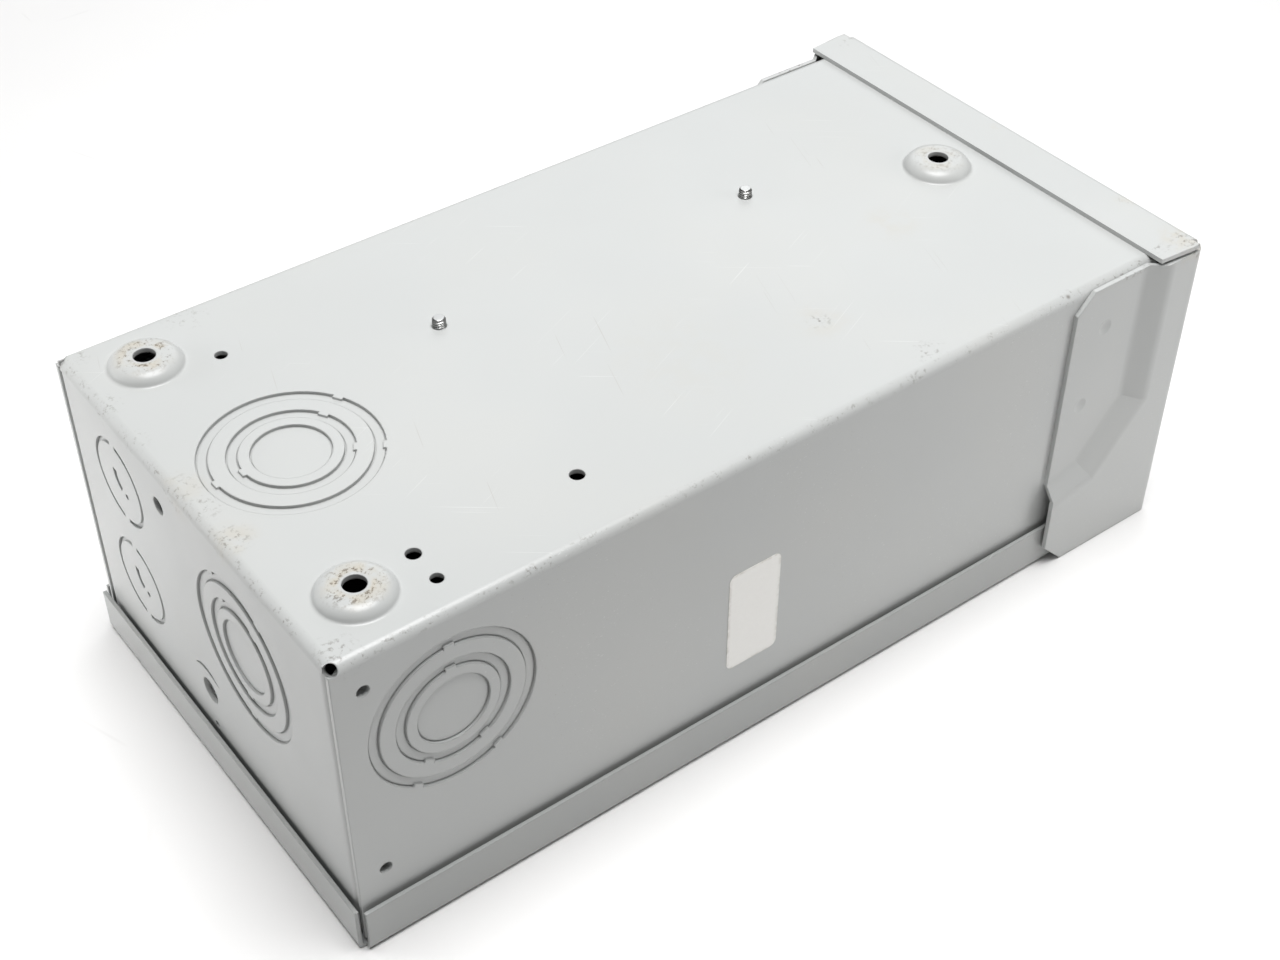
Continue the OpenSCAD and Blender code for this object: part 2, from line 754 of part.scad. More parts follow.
// One hood side flange: flush on the box wall, then stepped out to clear the cover's flange.
module hood_flange() {
  difference() {
    union() {
      flange_sheet([
        step_line[3], step_line[2], step_line[1], step_line[0],
        [hood_edge_x + hood_chamfer, hood_top], [hood_edge_x, hood_top - hood_chamfer]
      ], 0);
      flange_sheet([
        step_far[0], step_far[1], step_far[2], step_far[3],
        [hood_edge_x, hood_toe], [hood_edge_x + hood_toe, 0],
        [hood_x - bend_r, 0], [hood_x - bend_r, hood_top]
      ], hood_gap_y);
      for (i = [0:2]) hull() {
        for (p = [step_line[i], step_line[i + 1]]) {
          translate([p[0], -sheet, p[1]]) rotate([-90, 0, 0]) cylinder(r = eps, h = sheet, $fn = 4);
        }
        for (p = [step_far[i], step_far[i + 1]]) {
          translate([p[0], -hood_out, p[1]]) rotate([-90, 0, 0]) cylinder(r = eps, h = sheet, $fn = 4);
        }
      }
      translate([hood_x - bend_r, -hood_out + bend_r, 0]) mirror([0, 1, 0]) bend(hood_top, sheet, bend_r);
    }
    for (i = [0, 1]) {
      translate([hood_edge_x + weld_in - i * weld_skew, -sheet - weld_sink * weld_d, 0])
        translate([0, 0, box_d - weld_z - i * weld_pitch]) sphere(d = 2 * weld_d);
    }
  }
}

// Rain hood that closes the top end: end wall, lip over the back panel and two side flanges.
module end_cap() {
  color(paint) placed() difference() {
    union() {
      hood_flange();
      translate([0, box_w, 0]) mirror([0, 1, 0]) hood_flange();
      translate([hood_in_x, -hood_out + bend_r, 0])
        cube([sheet, box_w + 2 * (hood_out - bend_r), box_d + sheet - bend_r]);
      translate([hood_x - bend_r, box_w + hood_out - bend_r, box_d + sheet - bend_r]) rotate([90, 0, 0])
        bend(box_w + 2 * (hood_out - bend_r), sheet, bend_r);
      translate([0, 0, box_d]) linear_extrude(sheet) polygon([
        [hood_x - hood_lip, -hood_out + lip_taper_w],
        [hood_x - lip_taper, -hood_out],
        [hood_x - bend_r, -hood_out],
        [hood_x - bend_r, box_w + hood_out],
        [hood_x - lip_taper, box_w + hood_out],
        [hood_x - hood_lip, box_w + hood_out - lip_taper_w]
      ]);
    }
    translate([hood_in_x - 1, mid_y, box_d / 2]) rotate([0, 90, 0]) cylinder(d = hub_d, h = 3 * sheet);
    for (y = [-1, 1], z = [-1, 1]) {
      translate([hood_in_x - 1, mid_y + y * hub_pitch / 2, box_d / 2 + z * hub_pitch / 2]) rotate([0, 90, 0])
        cylinder(d = hub_screw_d + screw_hole_fit, h = 3 * sheet);
    }
  }
}

// Plate that closes the hub opening from outside.
module hub_plate() {
  color(paint) placed() translate([hood_x, mid_y, box_d / 2]) rotate([0, 90, 0]) difference() {
    union() {
      rounded_plate(hub_plate_w, hub_plate_w, sheet, hub_corner);
      translate([0, 0, -sheet]) cylinder(d = hub_d - hub_fit, h = sheet + eps);
    }
    translate([0, 0, -sheet - 1]) cylinder(d = hub_d - hub_fit - 2 * sheet, h = sheet + 1);
    for (x = [-1, 1], y = [-1, 1]) translate([x * hub_pitch / 2, y * hub_pitch / 2, -1])
      cylinder(d = hub_screw_d + screw_hole_fit, h = sheet + 2);
  }
}

// Slotted pan-head screw: head above z = 0, shank below.
module pan_screw(d, len, head, head_t) {
  difference() {
    union() {
      intersection() {
        cylinder(d = head, h = head_t);
        translate([0, 0, head_t - head]) sphere(head);
      }
      translate([0, 0, d / 4 - len]) cylinder(d = d, h = len - d / 4 + eps);
      translate([0, 0, -len]) cylinder(d1 = d * screw_point, d2 = d, h = d / 4 + eps);
    }
    translate([-head, -slot_w / 2, head_t - slot_depth]) cube([2 * head, slot_w, head_t]);
  }
}

module hub_plate_screws() {
  color(zinc) placed() for (y = [-1, 1], z = [-1, 1]) {
    translate([hood_x + sheet, mid_y + y * hub_pitch / 2, box_d / 2 + z * hub_pitch / 2]) rotate([0, 90, 0])
      rotate(slot_turn * y) pan_screw(hub_screw_d, sheet + hub_screw_grip, head_d, head_h);
  }
}

// Pins welded to the inside of the hood's side flanges; the cover turns on them.
module hinge_pins() {
  pin_l = hood_gap_y - cover_gap / 2;
  color(zinc) placed() {
    translate([hinge_x, -cover_gap / 2, hinge_z]) rotate([90, 0, 0]) cylinder(d = pin_d, h = pin_l);
    translate([hinge_x, box_w + cover_gap / 2, hinge_z]) rotate([-90, 0, 0]) cylinder(d = pin_d, h = pin_l);
  }
}

// Front cover: a pan with flanges outside the side walls and the bottom end wall.
module cover() {
  cover_w = box_w + 2 * cover_out;
  cover_l = cover_end_x + cover_out;
  color(paint) placed() difference() {
    union() {
      translate([-cover_out + cover_bend, 0, cover_flange]) mirror([0, 0, 1])
        translate([0, -cover_out, 0]) rotate([90, 0, 90]) linear_extrude(cover_l - cover_bend)
          channel(cover_w, cover_flange, cover_sheet, cover_bend);
      translate([-cover_out + cover_bend, box_w + cover_out - cover_bend, cover_bend])
        rotate([90, 0, 0]) mirror([1, 0, 0]) mirror([0, 1, 0])
          bend(cover_w - 2 * cover_bend, cover_sheet, cover_bend);
      translate([-cover_out, -cover_out + cover_bend, cover_bend])
        cube([cover_sheet, cover_w - 2 * cover_bend, cover_flange - cover_bend]);
      translate([0, 0, cover_sheet]) difference() {
        translate([cover_panel_in, cover_panel_in, 0])
          cube([cover_end_x - 2 * cover_panel_in, box_w - 2 * cover_panel_in, cover_panel_h]);
        translate([cover_panel_in + cover_panel_w, cover_panel_in + cover_panel_w, -1]) cube([
          cover_end_x - 2 * (cover_panel_in + cover_panel_w), box_w - 2 * (cover_panel_in + cover_panel_w),
          cover_panel_h + 2
        ]);
      }
    }
    for (y = [-cover_out - 1, box_w + cover_out - cover_notch + 1]) {
      translate([-cover_out - 1, y, notch_floor]) cube([cover_notch + 1, cover_notch, cover_flange]);
    }
    for (y = [-cover_out, box_w + cover_out]) translate([hinge_x, y, hinge_z]) rotate([90, 0, 0])
      cylinder(d = pin_d + 2 * pin_fit, h = 4 * cover_sheet, center = true);
  }
}

// Spring strip behind the end wall, whose nose holds the closed cover by its end flange.
module cover_catch() {
  color(zinc) placed() {
    difference() {
      translate([sheet, catch_y - catch_w / 2, rim_z]) cube([catch_t, catch_w, catch_top - rim_z]);
      for (s = [-1, 1]) translate([0, catch_y + s * catch_rivet_pitch / 2, catch_rivet_z]) rotate([0, 90, 0])
        cylinder(d = rivet_d + screw_hole_fit, h = through);
    }
    translate([sheet - catch_nose - catch_nose_r / 2, catch_y, catch_nose_z]) intersection() {
      rotate([90, 0, 0]) translate([catch_nose_r, 0, 0])
        cylinder(r = catch_nose_r, h = catch_nose_w, center = true);
      translate([0, -catch_w, -catch_nose_r])
        cube([catch_nose + catch_nose_r / 2 + eps, 2 * catch_w, 2 * catch_nose_r]);
    }
  }
}

module catch_rivets() {
  color(zinc) placed() for (s = [-1, 1]) {
    translate([sheet, catch_y + s * catch_rivet_pitch / 2, catch_rivet_z]) rotate([0, 90, 0]) {
      cylinder(d = rivet_d, h = catch_t + eps);
      translate([0, 0, catch_t]) cylinder(d = rivet_head, h = rivet_head_h);
    }
  }
}

// Blank adhesive label on the near side wall.
module side_label() {
  color("white") placed() translate([label_x, 0, label_z]) rotate([90, 0, 0])
    rounded_plate(label_w, label_h, label_t, label_corner);
}

// Section of the interior pan in (x, depth): ledge, foot, breaker deck, foot, ledge.
module pan_section() {
  t = pan_sheet;
  translate([ledge_x0, ledge_h - t]) square([ledge_l + t, t]);
  translate([foot_x0, 0]) square([t, ledge_h]);
  translate([foot_x0, 0]) square([foot_l + t, t]);
  translate([deck_x0, 0]) square([t, deck_h]);
  translate([deck_x0, deck_h - t]) square([deck_l, t]);
  translate([deck_x1 - t, 0]) square([t, deck_h]);
  translate([deck_x1 - t, 0]) square([foot_l + t, t]);
  translate([foot_x1 - t, 0]) square([t, ledge_h]);
  translate([foot_x1 - t, ledge_h - t]) square([ledge_l + t, t]);
}

// Steel pan that carries the breakers, bus bars, lugs and neutral bar.
module interior_pan() {
  color(zinc) placed() difference() {
    translate([0, pan_y0, back_in]) rotate([-90, 0, 0]) linear_extrude(pan_w) pan_section();
    for (s = [-1, 1]) translate([interior_x + s * screw_pitch / 2, interior_y, back_in - pan_sheet - 1])
      cylinder(d = screw_d + screw_hole_fit, h = pan_sheet + 2);
    for (s = [-1, 1]) translate([interior_x + s * deck_l / 4, rail_rivet_y, back_in - deck_h - 1])
      cylinder(d = rivet_d + screw_hole_fit, h = pan_sheet + 2);
    translate([bond_x, bond_y, back_in - ledge_h - 1]) cylinder(d = bond_d + screw_hole_fit, h = pan_sheet + 2);
  }
}

// Two thread-forming screws through the pan and the back panel.
module interior_screws() {
  color(zinc) placed() for (s = [-1, 1]) {
    translate([interior_x + s * screw_pitch / 2, interior_y, back_in - pan_sheet]) rotate([180, 0, 0])
      rotate(slot_turn * s) pan_screw(screw_d, pan_sheet + sheet + screw_tip, head_d, head_h);
  }
}

// Hook rail that holds the outer ends of the breakers.
module breaker_rail() {
  color(zinc) placed() difference() {
    translate([deck_x0 + rail_end, 0, 0]) {
      hung(deck_h + rail_t) translate([0, pan_y0, 0]) cube([deck_l - 2 * rail_end, rail_foot, rail_t]);
      hung(deck_h + rail_h) translate([0, pan_y0, 0]) cube([deck_l - 2 * rail_end, rail_t, rail_h]);
      for (i = [0:spaces - 1]) hung(deck_h + rail_h) translate([i * space_w + space_w / 4, pan_y0, 0])
        cube([space_w / 2 - hook_gap, rail_hook + rail_t, rail_t]);
    }
    for (s = [-1, 1]) translate([interior_x + s * deck_l / 4, rail_rivet_y, back_in - deck_h - rail_t - 1])
      cylinder(d = rivet_d + screw_hole_fit, h = rail_t + 2);
  }
}

module rail_rivets() {
  color(zinc) placed() for (s = [-1, 1]) {
    translate([interior_x + s * deck_l / 4, rail_rivet_y, back_in - deck_h - rail_t]) {
      translate([0, 0, -rivet_head_h / 2]) cylinder(d = rivet_d, h = rail_t + pan_sheet + rivet_head_h / 2);
      translate([0, 0, -rivet_head_h]) cylinder(d = rivet_head, h = rivet_head_h);
    }
  }
}

// Moulded base between the deck and the bus bars.
module bus_insulator() {
  color(plastic) placed() difference() {
    hung(deck_h + bus_rise) union() {
      translate([bus_x0 - base_edge, base_y, 0]) cube([deck_x1 - bus_x0, base_w, bus_rise]);
      translate([bus_x0 - base_edge, bus_y_a + bus_w + bus_gap / 2 - ridge_w / 2, -bus_t - ridge_h])
        cube([deck_x1 - bus_x0, ridge_w, bus_t + ridge_h + eps]);
    }
    bus_screw_places() cylinder(d = bus_screw_d, h = base_hole_h, center = true);
  }
}

// Places of the breaker stabs, one for each space, on alternate bus bars.
function space_x(i) = deck_x0 + (i + 0.5) * space_w;
function bar_y(i) = i % 2 == 0 ? bus_y_a : bus_y_b;
stab_y = bus_y_a + bus_w + bus_gap / 2 - stab_w / 2;

module bus_screw_places() {
  for (x = [deck_x0 + space_w, deck_x0 + 3 * space_w]) for (y = [bus_y_a, bus_y_b]) {
    hung(bus_top) translate([x, y + bus_w / 2, 0]) children();
  }
}

// Bus bar with its two stabs and the lug pad at the hood end.
module bus_bar(first) {
  y = bar_y(first);
  color(copper_tin) placed() difference() {
    union() {
      hung(bus_top) translate([bus_x0, y, 0]) cube([lug_x1 - bus_x0, bus_w, bus_t]);
      for (i = [first, first + 2]) {
        hung(bus_top + stab_h) translate([space_x(i) - stab_t / 2, stab_y, 0])
          cube([stab_t, stab_w, stab_h - stab_clear]);
        hung(bus_top + stab_clear) translate([space_x(i) - stab_foot, stab_y + first * (stab_w - stab_on), 0])
          cube([2 * stab_foot, stab_on, stab_clear + eps]);
      }
    }
    bus_screw_places() cylinder(d = bus_screw_d + screw_hole_fit, h = base_hole_h, center = true);
    hung(bus_top) translate([lug_x0 + lug_l / 2, y + bus_w / 2, -1])
      cylinder(d = clamp_d + screw_hole_fit, h = bus_t + 2);
  }
}
module bus_bar_a() { bus_bar(0); }
module bus_bar_b() { bus_bar(1); }

module bus_screws() {
  color(zinc) placed() bus_screw_places() rotate([180, 0, 0])
    pan_screw(bus_screw_d - screw_hole_fit, bus_t + bus_rise / 2, bus_screw_head, bus_screw_head_h);
}

// Moulded block under the two lugs.
module lug_insulator() {
  color(plastic) placed() difference() {
    hung(bus_top - bus_t) translate([foot_x1 + lug_base_in, base_y, 0])
      cube([lug_x1 - foot_x1 - lug_base_in, base_w, bus_top - bus_t - ledge_h]);
    for (y = [bus_y_a, bus_y_b]) hung(bus_top) translate([lug_x0 + lug_l / 2, y + bus_w / 2, 0])
      cylinder(d = clamp_pocket_d, h = bus_t + clamp_pocket_h);
  }
}

// Aluminium box lug, drawn on the bus bar with its wire hole along X.
module lug_block(l, w, h, bore) {
  difference() {
    translate([0, -w / 2, -h]) cube([l, w, h]);
    translate([-1, 0, -h * lug_axis]) rotate([0, 90, 0]) cylinder(d = bore, h = l + 2);
    translate([l / 2, 0, -h - 1]) cylinder(d = set_d + screw_hole_fit, h = h * (1 - lug_axis) + 1);
    translate([l / 2, 0, -h * lug_axis]) cylinder(d = clamp_d + screw_hole_fit, h = h);
  }
}
module line_lug(y) {
  color(aluminium) placed() hung(bus_top) translate([lug_x0, y + bus_w / 2, 0])
    lug_block(lug_l, lug_w, lug_h, lug_bore);
}
module line_lug_a() { line_lug(bus_y_a); }
module line_lug_b() { line_lug(bus_y_b); }

// Set screw with a hexagon socket, its face at z = 0 and its tip above it.
module set_screw(d, len) {
  difference() {
    cylinder(d = d, h = len);
    translate([0, 0, -1]) cylinder(d = d * socket_w, h = len * socket_depth + 1, $fn = 6);
  }
}

module line_lug_set_screws() {
  color(zinc) placed() for (y = [bus_y_a, bus_y_b]) {
    hung(bus_top + lug_h + 1) translate([lug_x0 + lug_l / 2, y + bus_w / 2, 0])
      set_screw(set_d, lug_h * lug_set_len);
  }
}

// Screws inside the lugs that clamp them to the bus bars.
module lug_clamp_screws() {
  color(zinc) placed() for (y = [bus_y_a, bus_y_b]) {
    hung(bus_top) translate([lug_x0 + lug_l / 2, y + bus_w / 2, 0]) {
      translate([0, 0, -lug_h * clamp_head]) cylinder(d = clamp_d, h = lug_h * clamp_head + bus_t + clamp_tail);
      translate([0, 0, bus_t + eps]) cylinder(d = clamp_nut_d, h = clamp_nut_h, $fn = 6);
    }
  }
}

// Moulded standoff under the neutral bar.
module neutral_insulator() {
  color(plastic) placed() difference() {
    hung(neutral_rise) translate([neutral_x - neutral_base_edge, neutral_y0 - neutral_base_end, 0])
      cube([neutral_w + 2 * neutral_base_edge, neutral_l + 2 * neutral_base_end, neutral_base_h]);
    translate([bond_x, bond_y, back_in - neutral_rise - 1])
      cylinder(d = bond_d + 2 * screw_hole_fit, h = neutral_rise);
  }
}

function neutral_hole_y(i) = neutral_y0 + neutral_start + (i + 0.5) * neutral_pitch;

// Neutral bar: wire holes along X, screws from the front.
module neutral_bar() {
  color(aluminium) placed() difference() {
    hung(neutral_rise + neutral_h) translate([neutral_x, neutral_y0, 0])
      cube([neutral_w, neutral_l, neutral_h]);
    for (i = [0:neutral_n - 1]) {
      translate([neutral_x - 1, neutral_hole_y(i), back_in - neutral_rise - neutral_h * neutral_axis])
        rotate([0, 90, 0]) cylinder(d = neutral_bore, h = neutral_w + 2);
      translate([neutral_x + neutral_w / 2, neutral_hole_y(i), back_in - neutral_rise - neutral_h - 1])
        cylinder(d = neutral_screw + screw_hole_fit, h = neutral_h * (1 - neutral_axis) + 1);
    }
    translate([bond_x, bond_y, back_in - neutral_rise - neutral_h - 1])
      cylinder(d = bond_d + screw_hole_fit, h = neutral_h + 2);
  }
}

module neutral_screws() {
  color(zinc) placed() for (i = [0:neutral_n - 1]) {
    hung(neutral_rise + neutral_h + neutral_screw_up)
      translate([neutral_x + neutral_w / 2, neutral_hole_y(i), 0]) difference() {
        cylinder(d = neutral_screw, h = neutral_h * neutral_screw_len);
        translate([-neutral_screw, -slot_w / 2, -1]) cube([2 * neutral_screw, slot_w, 1 + slot_depth]);
      }
  }
}

neutral_lug_y = neutral_y0 + neutral_l - neutral_lug_w / 2;
module neutral_lug() {
  color(aluminium) placed() hung(neutral_rise + neutral_h)
    translate([neutral_x + neutral_w / 2 - neutral_lug_l / 2, neutral_lug_y, 0]) difference() {
      translate([0, -neutral_lug_w / 2, -neutral_lug_h]) cube([neutral_lug_l, neutral_lug_w, neutral_lug_h]);
      translate([-1, 0, -neutral_lug_h * lug_axis]) rotate([0, 90, 0])
        cylinder(d = lug_bore, h = neutral_lug_l + 2);
      translate([neutral_lug_l / 2, 0, -neutral_lug_h - 1])
        cylinder(d = set_d + screw_hole_fit, h = neutral_lug_h * (1 - lug_axis) + 1);
    }
}

module neutral_lug_set_screw() {
  color(zinc) placed() hung(neutral_rise + neutral_h + neutral_lug_h + 1)
    translate([neutral_x + neutral_w / 2, neutral_lug_y, 0]) set_screw(set_d, neutral_lug_h * lug_set_len);
}

// Screw that bonds the neutral bar to the pan.
module bonding_screw() {
  color([0.25, 0.5, 0.3]) placed() translate([bond_x, bond_y, back_in - neutral_rise - neutral_h])
    rotate([180, 0, 0])
      pan_screw(bond_d, neutral_h + neutral_base_h + pan_sheet + bond_tail, bond_head_d, head_h);
}

// Inner front that covers the live parts, with four twist-out plates.
module deadfront() {
  w = box_w - 2 * (sheet + front_gap);
  l = front_x1 - front_x0;
  window_y = interior_y - window_l / 2 - window_shift;
  color(paint) placed() difference() {
    union() {
      translate([front_x0, sheet + front_gap, front_z + front_flange]) mirror([0, 0, 1])
        rotate([90, 0, 90]) linear_extrude(l) channel(w, front_flange, front_sheet, front_bend);
      for (x = [front_x0, front_x1 - front_sheet]) {
        translate([x, sheet + front_gap + front_bend, front_z])
          cube([front_sheet, w - 2 * front_bend, front_flange]);
      }
    }
    for (i = [0:spaces - 1]) translate([space_x(i), window_y + window_l / 2, front_z]) difference() {
      cube([space_w - window_web, window_l, 4 * front_sheet], center = true);
      cube([space_w - window_web - 2 * twist_slit, window_l - 2 * twist_slit, 5 * front_sheet], center = true);
      for (s = [-1, 1]) translate([0, s * window_l / 2, 0])
        cube([twist_tab, 3 * twist_slit, 5 * front_sheet], center = true);
    }
    for (x = [bracket_x_lower, bracket_x_upper]) translate([x, bracket_y + bracket_w / 2, front_z - 1])
      cylinder(d = front_screw_d + 2 * screw_hole_fit, h = front_sheet + 2);
  }
}

// Bracket from a pan foot to the deadfront: foot, upright and tapped tab. The tab points to -dir.
module deadfront_bracket(x, dir) {
  color(zinc) placed() difference() {
    translate([x, bracket_y, 0]) mirror([dir, 0, 0]) {
      hung(pan_sheet + bracket_t) translate([-bracket_tab_in, 0, 0]) cube([bracket_foot, bracket_w, bracket_t]);
      translate([-bracket_tab_in, 0, front_in]) cube([bracket_t, bracket_w, back_in - pan_sheet - front_in]);
      translate([-bracket_tab_in, 0, front_in]) cube([bracket_tab, bracket_w, bracket_t]);
    }
    translate([x, bracket_y + bracket_w / 2, front_in - 1]) cylinder(d = front_screw_d, h = bracket_t + 2);
  }
}
module deadfront_bracket_lower() { deadfront_bracket(bracket_x_lower, 0); }
module deadfront_bracket_upper() { deadfront_bracket(bracket_x_upper, 1); }

module deadfront_screws() {
  color(zinc) placed() for (x = [bracket_x_lower, bracket_x_upper]) {
    translate([x, bracket_y + bracket_w / 2, front_z]) rotate([180, 0, 0])
      pan_screw(front_screw_d - screw_hole_fit / 2, front_sheet + bracket_t + front_screw_tail, head_d, head_h);
  }
}

box_shell();
end_cap();
hub_plate();
hub_plate_screws();
hinge_pins();
cover();
cover_catch();
catch_rivets();
side_label();
interior_pan();
interior_screws();
breaker_rail();
rail_rivets();
bus_insulator();
bus_bar_a();
bus_bar_b();
bus_screws();
lug_insulator();
line_lug_a();
line_lug_b();
line_lug_set_screws();
lug_clamp_screws();
neutral_insulator();
neutral_bar();
neutral_screws();
neutral_lug();
neutral_lug_set_screw();
bonding_screw();
deadfront();
deadfront_bracket_lower();
deadfront_bracket_upper();
deadfront_screws();
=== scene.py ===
"""Looks of the raintight subpanel enclosure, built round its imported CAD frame.

All lengths are metres in the frame's own axes: +X towards the rain hood, +Z towards the back panel.
"""

import json
import math

import bmesh
import bpy
from mathutils import Euler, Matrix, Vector


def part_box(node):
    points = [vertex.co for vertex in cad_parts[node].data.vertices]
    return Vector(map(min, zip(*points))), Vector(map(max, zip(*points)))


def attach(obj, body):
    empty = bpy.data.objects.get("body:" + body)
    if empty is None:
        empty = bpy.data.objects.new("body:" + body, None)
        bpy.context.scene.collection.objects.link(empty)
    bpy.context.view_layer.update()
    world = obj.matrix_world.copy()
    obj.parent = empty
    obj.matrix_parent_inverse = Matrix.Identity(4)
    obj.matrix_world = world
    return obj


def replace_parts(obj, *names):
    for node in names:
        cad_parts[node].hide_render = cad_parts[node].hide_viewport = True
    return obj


MM = 0.001

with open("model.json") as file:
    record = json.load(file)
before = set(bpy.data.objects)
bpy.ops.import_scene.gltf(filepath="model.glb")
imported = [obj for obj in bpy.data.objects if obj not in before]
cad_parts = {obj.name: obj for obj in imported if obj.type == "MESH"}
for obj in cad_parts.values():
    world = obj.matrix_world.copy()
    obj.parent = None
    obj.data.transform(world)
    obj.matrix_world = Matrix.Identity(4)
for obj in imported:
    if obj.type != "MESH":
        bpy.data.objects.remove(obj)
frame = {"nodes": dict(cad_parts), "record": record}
bpy.context.view_layer.update()

NODES = frame["nodes"]
RECORD = frame["record"]
MOUNTS = {m["name"]: m for m in RECORD["mounts"]}
MATERIAL_OF = {p["node"]: p["material_slot"] for p in RECORD["subparts"]}


# ---------------------------------------------------------------- places

def mount_place(name):
    """Position of one of the record's mounts."""
    return Vector(MOUNTS[name]["pos_m"])


def wall_pads():
    """Centres of the three raised mounting pads on the back panel."""
    lower = mount_place("wall_mount_lower")
    half = MOUNTS["wall_mount_lower"]["dims"]["spacing_y_mm"] * MM / 2
    side = Vector((0, half, 0))
    return [lower - side, lower + side, mount_place("wall_mount_upper")]


BOX_LOW, BOX_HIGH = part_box("box_shell")
HOOD_LOW, HOOD_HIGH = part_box("end_cap")
COVER_LOW, COVER_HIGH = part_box("cover")
BACK_Z = mount_place("back_knockout").z


def on_back(along, across):
    """Point on the back panel, as fractions of its length from the end wall and of its width."""
    x = BOX_LOW.x + along * (BOX_HIGH.x - BOX_LOW.x)
    y = BOX_LOW.y + across * (BOX_HIGH.y - BOX_LOW.y)
    return Vector((x, y, BACK_Z))


# ---------------------------------------------------------------- node graphs

class Graph:
    """A material's node tree, with short calls for the nodes used here."""

    def __init__(self, name):
        self.material = bpy.data.materials.new(name)
        self.material.use_nodes = True
        self.tree = self.material.node_tree
        self.tree.nodes.clear()
        self.out = self.tree.nodes.new("ShaderNodeOutputMaterial")
        self.shader = self.tree.nodes.new("ShaderNodeBsdfPrincipled")
        self.link(self.shader.outputs["BSDF"], self.out.inputs["Surface"])
        self.place = self.tree.nodes.new("ShaderNodeTexCoord").outputs["Object"]

    def link(self, source, target):
        self.tree.links.new(source, target)

    def put(self, socket, value):
        """Sets a socket to a number or colour, or links it to another node's output."""
        if isinstance(value, bpy.types.NodeSocket):
            self.link(value, socket)
        else:
            socket.default_value = value

    def math(self, operation, a, b=0.0):
        """Result of one math node, whose inputs are numbers or other nodes' outputs."""
        node = self.tree.nodes.new("ShaderNodeMath")
        node.operation = operation
        self.put(node.inputs[0], a)
        self.put(node.inputs[1], b)
        return node.outputs[0]

    def times(self, a, b):
        return self.math("MULTIPLY", a, b)

    def minus(self, a, b):
        return self.math("SUBTRACT", a, b)

    def absolute(self, value):
        return self.math("ABSOLUTE", value)

    def strongest(self, values):
        """Largest of some nodes' outputs."""
        total = values[0]
        for value in values[1:]:
            total = self.math("MAXIMUM", total, value)
        return total

    def noise(self, size, detail=2.0, rough=0.5, place=None):
        """Noise from 0 to 1 whose features are about size metres wide."""
        node = self.tree.nodes.new("ShaderNodeTexNoise")
        node.inputs["Scale"].default_value = 1 / size
        node.inputs["Detail"].default_value = detail
        node.inputs["Roughness"].default_value = rough
        self.link(place or self.place, node.inputs["Vector"])
        return node.outputs["Fac"]

    def stretched(self, scale, offset=(0, 0, 0), turn=0.0):
        """The object's coordinates, turned about Z and scaled by a different factor along each axis."""
        node = self.tree.nodes.new("ShaderNodeMapping")
        node.vector_type = "TEXTURE"
        node.inputs["Scale"].default_value = [1 / s for s in scale]
        node.inputs["Location"].default_value = offset
        node.inputs["Rotation"].default_value = (0, 0, math.radians(turn))
        self.link(self.place, node.inputs["Vector"])
        return node.outputs["Vector"]

    def cracks(self, size, place=None):
        """Distance to the nearest line of an irregular net whose meshes are about size metres wide."""
        node = self.tree.nodes.new("ShaderNodeTexVoronoi")
        node.feature = "DISTANCE_TO_EDGE"
        node.inputs["Scale"].default_value = 1 / size
        self.link(place or self.place, node.inputs["Vector"])
        return node.outputs["Distance"]

    def ramp(self, value, start, end, low=0.0, high=1.0, smooth=True):
        """Runs from low to high as value runs from start to end."""
        node = self.tree.nodes.new("ShaderNodeMapRange")
        node.interpolation_type = "SMOOTHSTEP" if smooth else "LINEAR"
        node.clamp = True
        self.link(value, node.inputs["Value"])
        node.inputs["From Min"].default_value = start
        node.inputs["From Max"].default_value = end
        node.inputs["To Min"].default_value = low
        node.inputs["To Max"].default_value = high
        return node.outputs["Result"]

    def mix(self, amount, a, b):
        """Colour that goes from a to b as amount goes from 0 to 1."""
        node = self.tree.nodes.new("ShaderNodeMix")
        node.data_type = "RGBA"
        self.put(node.inputs["Factor"], amount)
        self.put(node.inputs["A"], a)
        self.put(node.inputs["B"], b)
        return node.outputs["Result"]

    def distance(self, place):
        """Distance of the shaded point from a fixed place."""
        node = self.tree.nodes.new("ShaderNodeVectorMath")
        node.operation = "DISTANCE"
        self.link(self.place, node.inputs[0])
        node.inputs[1].default_value = place
        return node.outputs["Value"]

    def axes(self):
        node = self.tree.nodes.new("ShaderNodeSeparateXYZ")
        self.link(self.place, node.inputs[0])
        return node.outputs["X"], node.outputs["Y"], node.outputs["Z"]

    def bump(self, height, depth, normal=None):
        """Surface normal raised by height, where 1 means depth metres."""
        node = self.tree.nodes.new("ShaderNodeBump")
        node.inputs["Distance"].default_value = depth
        self.link(height, node.inputs["Height"])
        if normal is not None:
            self.link(normal, node.inputs["Normal"])
        return node.outputs["Normal"]

    def round_edges(self, radius):
        """Surface normal that turns smoothly over sharp edges."""
        node = self.tree.nodes.new("ShaderNodeBevel")
        node.samples = 4
        self.put(node.inputs["Radius"], radius)
        return node.outputs["Normal"]

    def finish(self, colour, roughness, normal=None, **constants):
        self.put(self.shader.inputs["Base Color"], colour)
        self.put(self.shader.inputs["Roughness"], roughness)
        if normal is not None:
            self.link(normal, self.shader.inputs["Normal"])
        for name, value in constants.items():
            self.shader.inputs[name.replace("_", " ")].default_value = value
        return self.material


def grey(r, g, b):
    return (r, g, b, 1.0)


# ---------------------------------------------------------------- painted steel

